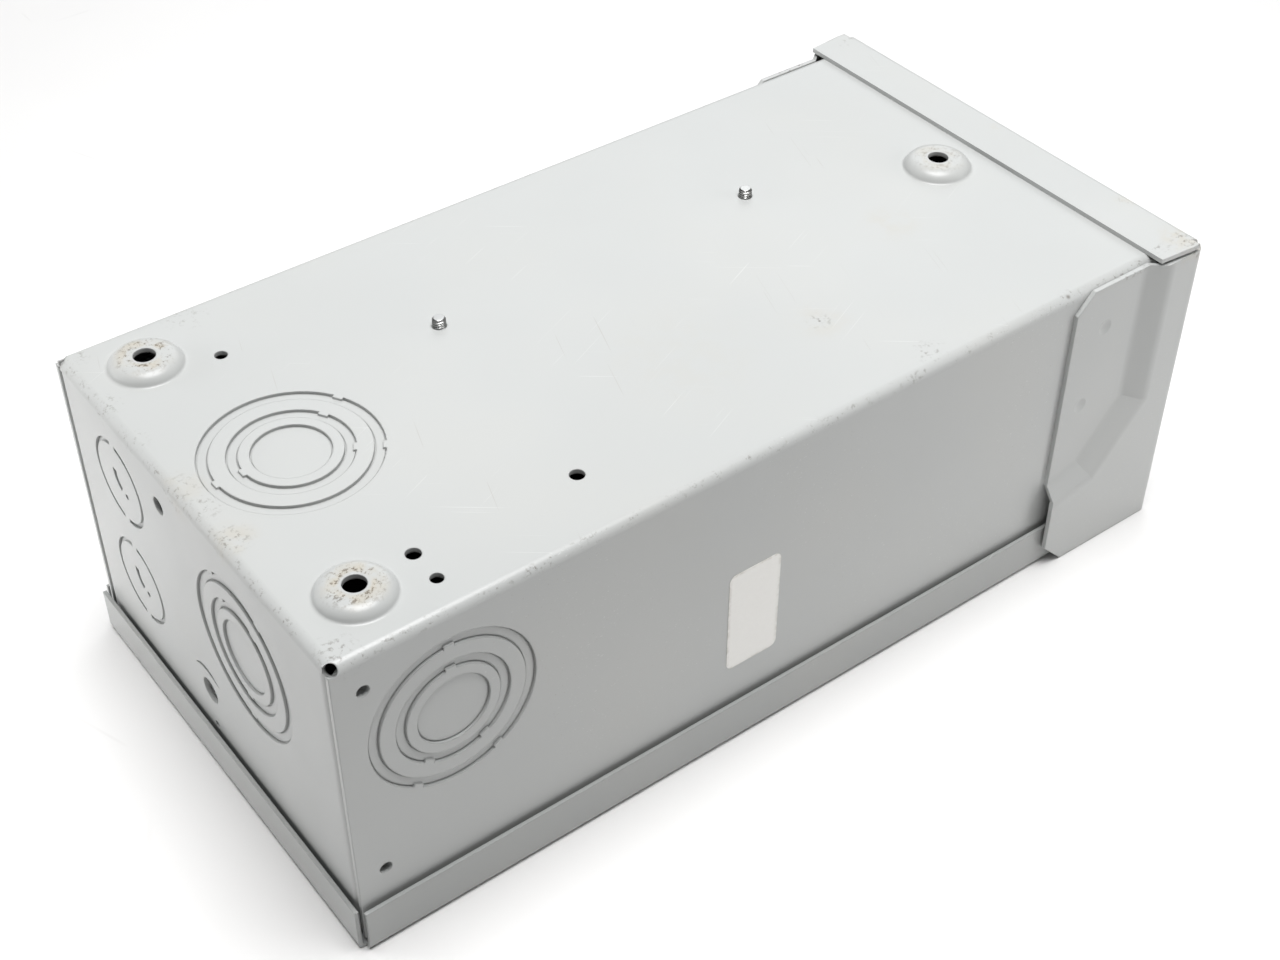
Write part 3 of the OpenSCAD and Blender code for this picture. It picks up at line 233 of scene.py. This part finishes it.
PAINT = grey(0.464, 0.474, 0.468)
PAINT_LIGHT = grey(0.480, 0.490, 0.484)
# The cover's paint is a darker copy of the box's paint: painted shade for the cover low by the floor.
COVER_SHADED_PAINT = grey(0.385, 0.394, 0.388)
COVER_SHADED_PAINT_LIGHT = grey(0.400, 0.408, 0.402)
GRIME = grey(0.090, 0.070, 0.050)
HAZE = grey(0.46, 0.41, 0.32)
DUST = grey(0.50, 0.46, 0.39)
LIGHT_SCRATCH = grey(0.66, 0.67, 0.66)
DARK_SCRATCH = grey(0.30, 0.27, 0.24)
GLOSSY_COAT = 0.285
DULL_COAT = 0.34

# Marks on the back panel and the hood's lip: fraction along, fraction across, radius, strength
SPECK_MARKS = [
    (0.011, 0.985, 0.008, 0.5),
    (0.005, 0.81, 0.007, 0.5),
    (0.004, 0.69, 0.006, 0.4),
    (0.003, 0.53, 0.009, 0.5),
    (0.013, 0.46, 0.007, 0.5),
    (0.014, 0.36, 0.007, 0.6),
    (0.13, 0.97, 0.009, 0.3),
    (0.018, 0.03, 0.008, 0.6),
    (0.62, 0.235, 0.005, 0.6),
    (0.673, 0.04, 0.007, 0.5),
    (0.845, 0.008, 0.004, 1.0),
    (1.013, 0.165, 0.004, 0.6),
    (1.01, -0.01, 0.007, 1.0),
]
HAZE_MARKS = [
    (0.014, 0.36, 0.009, 0.30),
    (0.005, 0.53, 0.012, 0.20),
    (0.48, 0.30, 0.030, 0.07),
    (0.62, 0.235, 0.012, 0.16),
    (0.79, 0.40, 0.012, 0.18),
    (1.008, 0.0, 0.010, 0.50),
    (1.012, 0.165, 0.005, 0.35),
    (1.008, 0.53, 0.003, 0.6),
]
DOT_MARKS = [
    (1.02, 0.915, 0.0010, 0.8),
    (1.008, 0.53, 0.0007, 0.7),
    (0.845, 0.008, 0.0012, 0.9),
    (0.62, 0.235, 0.0006, 0.8),
]


def near(graph, place, radius):
    """1 at a place, falling to 0 at radius from it."""
    return graph.ramp(graph.distance(place), radius, radius * 0.25)


# Dirt round each pad's hole: strength per pad, then the radii of its clean rim, its full dirt and its end
PAD_DIRT = (1.0, 1.0, 0.45)
PAD_CLEAN = 0.0036
PAD_DIRTY = 0.0048
PAD_FADE = 0.0100
FOLD_DIRT_WIDTH = 0.0030


def pad_rings(graph):
    """Dirt on a ring round each pad's hole, fading to 0 at the pad's shoulder and at the hole's clean rim."""
    rings = []
    for place, strength in zip(wall_pads(), PAD_DIRT):
        away = graph.distance(place)
        outside_rim = graph.ramp(away, PAD_CLEAN, PAD_DIRTY)
        inside_shoulder = graph.ramp(away, PAD_FADE, PAD_DIRTY)
        rings.append(graph.times(graph.times(outside_rim, inside_shoulder), strength))
    return graph.strongest(rings)


def near_marks(graph, marks):
    """Strength of the nearest of some marks, falling to 0 at each mark's radius."""
    strengths = []
    for along, across, radius, strength in marks:
        strengths.append(graph.times(near(graph, on_back(along, across), radius), strength))
    return graph.strongest(strengths)


def bend_lines(graph, width):
    """1 along the folds between the back panel and the walls, falling to 0 at width from them."""
    x, y, z = graph.axes()
    below = graph.absolute(graph.minus(z, BACK_Z))
    past_end = graph.absolute(graph.minus(x, BOX_LOW.x))
    past_side = graph.minus(graph.absolute(y), BOX_HIGH.y)
    aside = graph.math("MINIMUM", past_end, graph.absolute(past_side))
    return graph.ramp(graph.math("MAXIMUM", below, aside), width, width * 0.3)


def paint_speckle(graph):
    """Dark dirt: specks round the pads' holes, at rub marks and along the folds."""
    speckle = graph.ramp(graph.noise(0.0016, detail=5, rough=0.75), 0.53, 0.64)
    patches = graph.ramp(graph.noise(0.009, detail=3, rough=0.6), 0.42, 0.62)
    broken = graph.times(speckle, patches)
    clumps = graph.ramp(graph.noise(0.0015, detail=6, rough=0.8), 0.52, 0.60)
    on_pads = graph.times(pad_rings(graph), clumps)
    rubbed = graph.times(near_marks(graph, SPECK_MARKS), speckle)
    folds = graph.times(bend_lines(graph, FOLD_DIRT_WIDTH), graph.times(broken, 0.7))
    return graph.strongest([on_pads, rubbed, folds, near_marks(graph, DOT_MARKS)])


def paint_haze(graph):
    """Tan film round the pads' holes and at rub marks."""
    cloud = graph.ramp(graph.noise(0.006, detail=4, rough=0.6), 0.38, 0.66)
    on_pads = graph.times(pad_rings(graph), 0.75)
    return graph.times(graph.strongest([on_pads, near_marks(graph, HAZE_MARKS)]), cloud)


def hairlines(graph, turn, offset, limit):
    """Sparse thin straight scratches that run at an angle to the object's X axis."""
    place = graph.stretched((1 / 0.030, 1 / 0.00045, 1 / 0.00045), (offset, offset, 0), turn)
    lines = graph.ramp(graph.noise(1.0, detail=0, place=place), limit, limit + 0.03)
    patches = graph.ramp(graph.noise(0.050, detail=1), 0.50, 0.60)
    return graph.times(lines, patches)


# Thickness of the box and hood sheet, the rounding of its edges, and a rounding too small to be seen
SHEET = 0.0015
SHEET_EDGE = 0.0006
CRISP_EDGE = 0.00002

# The pressed step of the hood's side flanges, seen from the side. It comes straight down at STEP_IN from the
# hood's end to the height STEP_HIGH, slants to the height STEP_MID at STEP_TURN from that end, and meets the
# flange's edge at the height STEP_LOW. STEP_RUN is its width, STEP_BLEND the part of it added on each side,
# and STEP_FADE the part over which the edge rounding then comes back.
STEP_IN = 0.0205
STEP_HIGH = 0.056
STEP_TURN = 0.037
STEP_MID = 0.036
STEP_LOW = 0.033
STEP_RUN = 0.0045
STEP_BLEND = 0.8
STEP_FADE = 0.3


def hood_step(graph):
    """Runs from 0 to 1 across the step of the hood's side flanges, and on beyond both its edges."""
    x, _, z = graph.axes()
    corners = [
        (HOOD_HIGH.x - STEP_IN, BACK_Z),
        (HOOD_HIGH.x - STEP_IN, STEP_HIGH),
        (HOOD_HIGH.x - STEP_TURN, STEP_MID),
        (HOOD_LOW.x, STEP_LOW),
    ]
    across = []
    for (ax, az), (bx, bz) in zip(corners, corners[1:]):
        length = math.hypot(bx - ax, bz - az)
        nx = (az - bz) / length
        nz = (bx - ax) / length
        along_x = graph.times(graph.minus(x, ax), nx / STEP_RUN)
        along_z = graph.times(graph.minus(z, az), nz / STEP_RUN)
        across.append(graph.math("ADD", along_x, along_z))
    return graph.strongest(across)


def soft_step(graph, normal):
    """Surface normal of the hood with its straight step turned into a smooth S."""
    across = hood_step(graph)
    curve = graph.ramp(across, -STEP_BLEND, 1 + STEP_BLEND)
    straight = graph.ramp(across, 0.0, 1.0, smooth=False)
    height = graph.axes()[2]
    on_flange = graph.math("LESS_THAN", height, BACK_Z)
    gap = graph.times(graph.minus(curve, straight), on_flange)
    return graph.bump(gap, HOOD_HIGH.y - BOX_HIGH.y - SHEET, normal)


def hood_edges(graph):
    """Edge radius on the hood: the sheet's own, and next to none where the step is already smooth."""
    from_middle = graph.absolute(graph.minus(hood_step(graph), 0.5))
    beyond = 0.5 + STEP_BLEND
    return graph.ramp(from_middle, beyond, beyond + STEP_FADE, CRISP_EDGE, SHEET_EDGE)


def painted_steel(name, paints=(PAINT, PAINT_LIGHT), hood=False):
    """Light grey semi-gloss powder coat over folded sheet, handled and slightly dirty. The paints give its
    two random tones; the cover's are a darker copy, as painted shade.
    """
    graph = Graph(name)
    tone = graph.ramp(graph.noise(0.09, detail=2), 0.30, 0.70)
    colour = graph.mix(tone, paints[0], paints[1])
    light = graph.strongest([hairlines(graph, 24, 0.3, 0.80), hairlines(graph, -38, 0.7, 0.80)])
    colour = graph.mix(graph.times(light, 0.4), colour, LIGHT_SCRATCH)
    dark = hairlines(graph, 71, 1.3, 0.81)
    colour = graph.mix(graph.times(dark, 0.35), colour, DARK_SCRATCH)
    film = graph.ramp(graph.noise(0.045, detail=2, rough=0.5), 0.35, 0.85, 0.0, 0.08)
    colour = graph.mix(film, colour, DUST)
    colour = graph.mix(paint_haze(graph), colour, HAZE)
    grime = paint_speckle(graph)
    colour = graph.mix(graph.times(grime, 0.85), colour, GRIME)
    gloss = graph.ramp(graph.noise(0.030, detail=2), 0.3, 0.7, GLOSSY_COAT, DULL_COAT)
    gloss = graph.math("ADD", gloss, graph.times(grime, 0.30))
    normal = graph.round_edges(hood_edges(graph) if hood else SHEET_EDGE)
    if hood:
        normal = soft_step(graph, normal)
    waves = graph.noise(0.070, detail=1)
    orange_peel = graph.noise(0.0024, detail=2)
    normal = graph.bump(waves, 0.00025, normal)
    normal = graph.bump(orange_peel, 0.000010, normal)
    return graph.finish(colour, gloss, normal, Specular_IOR_Level=0.5)


# ---------------------------------------------------------------- metals, mouldings, label

def zinc_plate():
    """Bright zinc plate with faint rolling lines and a slightly uneven passivation tint."""
    graph = Graph("zinc_plate")
    tint = graph.noise(0.012, detail=3)
    colour = graph.mix(tint, grey(0.60, 0.61, 0.64), grey(0.70, 0.69, 0.65))
    lines = graph.noise(0.0010, detail=3, place=graph.stretched((0.06, 1.0, 1.0)))
    gloss = graph.ramp(lines, 0.3, 0.7, 0.24, 0.38)
    normal = graph.bump(lines, 0.000010, graph.round_edges(0.0002))
    return graph.finish(colour, gloss, normal, Metallic=1.0)


def extruded_aluminium():
    """Tin-plated aluminium extrusion, with draw lines along the part and dull patches."""
    graph = Graph("extruded_aluminium")
    dull = graph.noise(0.006, detail=4)
    colour = graph.mix(dull, grey(0.74, 0.75, 0.76), grey(0.62, 0.63, 0.64))
    lines = graph.noise(0.0006, detail=2, place=graph.stretched((0.05, 1.0, 1.0)))
    gloss = graph.ramp(lines, 0.3, 0.7, 0.30, 0.44)
    normal = graph.bump(lines, 0.000012, graph.round_edges(0.0003))
    return graph.finish(colour, gloss, normal, Metallic=1.0)


def tin_plate():
    """Matt tin plate over a copper bus bar, with a warm cast."""
    graph = Graph("tin_plate")
    cloud = graph.noise(0.008, detail=4)
    colour = graph.mix(cloud, grey(0.72, 0.70, 0.66), grey(0.60, 0.57, 0.52))
    gloss = graph.ramp(graph.noise(0.003, detail=4), 0.3, 0.7, 0.34, 0.48)
    normal = graph.bump(graph.noise(0.0009, detail=3), 0.000012, graph.round_edges(0.0003))
    return graph.finish(colour, gloss, normal, Metallic=1.0)


def black_moulding():
    """Black phenolic moulding with a fine grain."""
    graph = Graph("black_phenolic")
    cloud = graph.noise(0.010, detail=3)
    colour = graph.mix(cloud, grey(0.018, 0.018, 0.020), grey(0.032, 0.032, 0.034))
    gloss = graph.ramp(graph.noise(0.002, detail=4), 0.3, 0.7, 0.42, 0.58)
    normal = graph.bump(graph.noise(0.0006, detail=3), 0.00003, graph.round_edges(0.0004))
    return graph.finish(colour, gloss, normal)


# Width of the darker band along the label's edges.
LABEL_EDGE_BAND = 0.0012


def edge_band(graph, value, middle, half):
    """0 inside a strip that reaches half to each side of its middle, rising to 1 at its two edges."""
    away = graph.absolute(graph.minus(value, middle))
    return graph.ramp(away, half - LABEL_EDGE_BAND, half)


def paper_label():
    """Blank coated paper sticker with faint fibres, darker towards its edges."""
    graph = Graph("paper_label")
    low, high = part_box("side_label")
    centre = (low + high) / 2
    half = (high - low) / 2
    x, _, z = graph.axes()
    edge_dark = graph.strongest([edge_band(graph, x, centre.x, half.x), edge_band(graph, z, centre.z, half.z)])
    edge_dark = graph.times(edge_dark, graph.ramp(graph.noise(0.002, detail=4), 0.40, 0.65, 0.15, 0.55))
    fibres = graph.noise(0.0012, detail=5, rough=0.7)
    colour = graph.mix(fibres, grey(0.90, 0.89, 0.86), grey(0.84, 0.83, 0.80))
    # Darker towards the label's edges.
    colour = graph.mix(edge_dark, colour, grey(0.50, 0.47, 0.42))
    gloss = graph.ramp(fibres, 0.3, 0.7, 0.42, 0.52)
    normal = graph.bump(fibres, 0.00001)
    return graph.finish(colour, gloss, normal)


def green_dyed_zinc():
    """Green dyed plating of the bonding screw."""
    graph = Graph("green_dyed_zinc")
    cloud = graph.noise(0.004, detail=3)
    colour = graph.mix(cloud, grey(0.05, 0.26, 0.10), grey(0.09, 0.34, 0.14))
    gloss = graph.ramp(graph.noise(0.0015, detail=3), 0.3, 0.7, 0.28, 0.42)
    normal = graph.bump(graph.noise(0.0008, detail=3), 0.00001, graph.round_edges(0.0002))
    return graph.finish(colour, gloss, normal, Metallic=0.7)


def dress_nodes():
    """Gives every CAD node the material of its slot in the record."""
    made = {
        "painted_steel": painted_steel("painted_steel_coat"),
        "zinc_steel": zinc_plate(),
        "aluminium": extruded_aluminium(),
        "tinned_copper": tin_plate(),
        "black_moulding": black_moulding(),
        "label_white": paper_label(),
        "green_screw": green_dyed_zinc(),
    }
    for name, node in NODES.items():
        for place in node.material_slots:
            place.material = made[MATERIAL_OF[name]]
    own_coats = {
        "end_cap": painted_steel("painted_steel_hood_coat", hood=True),
        # The cover's coat uses the darker copy of the paint, painted shade low by the floor.
        "cover": painted_steel("painted_steel_cover_shaded_coat", (COVER_SHADED_PAINT, COVER_SHADED_PAINT_LIGHT)),
    }
    for name, coat in own_coats.items():
        for place in NODES[name].material_slots:
            place.material = coat
    return made


# ---------------------------------------------------------------- threaded interior screws

THREAD_PITCH = 0.0008
THREAD_DEPTH = 0.00042
THREAD_SIDES = 32
THREAD_CREST = 1.35
RINGS_PER_TURN = 8
SHANK_RADIUS = 0.00209
TIP_RADIUS = SHANK_RADIUS - THREAD_DEPTH - 0.0001
TIP_SLOPE = 0.9
HEAD_HEIGHT = 0.0024
HEAD_RADIUS = 0.0042
HEAD_SIDES = 40
SMOOTH_ANGLE = 40

# Outline of the pan head, from its top down: fractions of its radius and of its height
HEAD_OUTLINE = [
    (0.62, 0.0),
    (0.86, 0.14),
    (0.97, 0.40),
    (1.0, 0.70),
    (1.0, 1.0),
]


def thread_radius(angle, height, top):
    """Radius of the thread at an angle and a height, with a chamfered end at the top."""
    phase = (height / THREAD_PITCH - angle / (2 * math.pi)) % 1.0
    crest = 1 - abs(2 * phase - 1)
    radius = SHANK_RADIUS - THREAD_DEPTH * (1 - min(1.0, THREAD_CREST * crest))
    chamfer = TIP_RADIUS + max(0.0, top - height) * TIP_SLOPE
    return min(radius, chamfer)


def add_ring(mesh, centre, height, sides, radius_at):
    """Ring of points round a vertical line, at the radius that radius_at gives for each angle."""
    ring = []
    for k in range(sides):
        angle = 2 * math.pi * k / sides
        r = radius_at(angle)
        place = (centre.x + r * math.cos(angle), centre.y + r * math.sin(angle), height)
        ring.append(mesh.verts.new(place))
    return ring


def join_rings(mesh, rings):
    """Closed skin over a stack of rings, with a flat face on each end."""
    for a, b in zip(rings, rings[1:]):
        for k in range(len(a)):
            n = (k + 1) % len(a)
            mesh.faces.new((a[k], a[n], b[n], b[k]))
    mesh.faces.new(rings[-1])
    mesh.faces.new(list(reversed(rings[0])))


def add_thread(mesh, bottom, top, centre):
    """Closed threaded rod between two heights."""
    count = max(2, round((top - bottom) / THREAD_PITCH * RINGS_PER_TURN))
    rings = []
    for i in range(count + 1):
        height = bottom + (top - bottom) * i / count
        rings.append(add_ring(mesh, centre, height, THREAD_SIDES, lambda a: thread_radius(a, height, top)))
    join_rings(mesh, rings)


def add_head(mesh, bottom, centre):
    """Pan head, face down, as a turned outline."""
    rings = []
    for r, h in HEAD_OUTLINE:
        rings.append(add_ring(mesh, centre, bottom + h * HEAD_HEIGHT, HEAD_SIDES, lambda a: r * HEAD_RADIUS))
    join_rings(mesh, rings)


def threaded_screws():
    """The two interior screws with real threads, in the box that the CAD screws hold."""
    low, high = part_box("interior_screws")
    mesh = bmesh.new()
    for x in (low.x + HEAD_RADIUS, high.x - HEAD_RADIUS):
        centre = Vector((x, (low.y + high.y) / 2, 0))
        add_thread(mesh, low.z + HEAD_HEIGHT, high.z, centre)
        add_head(mesh, low.z, centre)
    return finished_piece("interior_screws_threaded", mesh, "enclosure", "zinc_steel")


def finished_piece(name, mesh, body, slot):
    """Turns a bmesh into a named piece that rides on a body."""
    bmesh.ops.recalc_face_normals(mesh, faces=mesh.faces)
    data = bpy.data.meshes.new(name)
    for edge in mesh.edges:
        edge.smooth = edge.calc_face_angle(math.pi) < math.radians(SMOOTH_ANGLE)
    for face in mesh.faces:
        face.smooth = True
    mesh.to_mesh(data)
    mesh.free()
    piece = bpy.data.objects.new(name, data)
    bpy.context.scene.collection.objects.link(piece)
    piece.data.materials.append(MADE[slot])
    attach(piece, body)
    return piece


# ---------------------------------------------------------------- stage, light, camera

FLOOR_HALF = 12.0
FLOOR_DROP = 0.0002
FLOOR_PAPER = grey(0.82, 0.815, 0.81)
FLOOR_SCUFF = grey(0.39, 0.37, 0.36)


def studio_floor():
    """Wide white table with faint scuffs."""
    graph = Graph("studio_paper")
    scuff = graph.ramp(graph.cracks(0.16, graph.stretched((1.0, 0.6, 1.0))), 0.004, 0.001)
    scuff = graph.times(scuff, graph.ramp(graph.noise(0.05, detail=3), 0.52, 0.66, 0.0, 0.10))
    cloud = graph.ramp(graph.noise(0.12, detail=3), 0.3, 0.7, 0.0, 0.03)
    colour = graph.mix(graph.math("ADD", scuff, cloud), FLOOR_PAPER, FLOOR_SCUFF)
    material = graph.finish(colour, 0.6)
    corners = [(-1, -1), (1, -1), (1, 1), (-1, 1)]
    data = bpy.data.meshes.new("studio_floor")
    data.from_pydata([(x * FLOOR_HALF, y * FLOOR_HALF, 0) for x, y in corners], [], [(0, 1, 2, 3)])
    floor = bpy.data.objects.new("studio_floor", data)
    floor.location.z = -FLOOR_DROP
    floor.data.materials.append(material)
    bpy.context.scene.collection.objects.link(floor)


WIDE = 180.0
NARROW = 90.0
SURROUND_STRENGTH = 0.06


def soft_light(name, place, size, power, target, tint=(1, 1, 1), spread=WIDE):
    """Soft rectangular light that faces a target. A narrow one only fills in and isn't reflected."""
    data = bpy.data.lights.new(name, "AREA")
    data.shape = "RECTANGLE"
    data.size, data.size_y = size
    data.energy = power
    data.color = tint
    data.spread = math.radians(spread)
    light = bpy.data.objects.new(name, data)
    light.location = place
    light.visible_camera = False
    light.visible_glossy = spread == WIDE
    light.rotation_euler = (target - Vector(place)).to_track_quat("-Z", "Y").to_euler()
    bpy.context.scene.collection.objects.link(light)


def studio_light():
    """Soft overhead light, a broad light behind, weaker lights from both sides, and an even pale surround."""
    target = Vector((0, 0, BACK_Z / 2))
    cool = (0.95, 0.98, 1.0)
    hood = HOOD_HIGH / 2
    soft_light("key_softbox", (0.00, -0.13, 1.60), (1.0, 1.0), power=35, target=target)
    soft_light("back_softbox", (1.00, 1.20, 1.00), (1.4, 1.0), power=6.6, target=target, tint=cool)
    soft_light("left_softbox", (-0.36, 0.24, 0.12), (0.2, 0.2), power=0.19, target=target, spread=NARROW)
    soft_light("right_softbox", (0.45, -0.35, 0.25), (0.25, 0.25), power=0.21, target=hood, spread=NARROW)
    world = bpy.data.worlds.new("studio_surround")
    world.use_nodes = True
    surround = world.node_tree.nodes["Background"]
    surround.inputs["Color"].default_value = (1.0, 1.0, 1.0, 1.0)
    surround.inputs["Strength"].default_value = SURROUND_STRENGTH
    bpy.context.scene.world = world
    bpy.context.scene.view_settings.view_transform = "Standard"


CAMERA_PLACE = (-0.2868, -0.3760, 0.4475)
CAMERA_TURN = (48.846, -0.143, -36.939)
CAMERA_LENS = 55.5
SENSOR_WIDTH = 36.0


def studio_camera():
    data = bpy.data.cameras.new("studio_camera")
    data.sensor_fit = "HORIZONTAL"
    data.sensor_width = SENSOR_WIDTH
    data.lens = CAMERA_LENS
    data.clip_start = 0.01
    data.clip_end = 50
    camera = bpy.data.objects.new("studio_camera", data)
    camera.location = CAMERA_PLACE
    camera.rotation_euler = Euler([math.radians(a) for a in CAMERA_TURN])
    bpy.context.scene.collection.objects.link(camera)
    bpy.context.scene.camera = camera


# ---------------------------------------------------------------- the scene

studio_camera()
MADE = dress_nodes()
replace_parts(threaded_screws(), "interior_screws")
studio_floor()
studio_light()

bpy.context.view_layer.update()
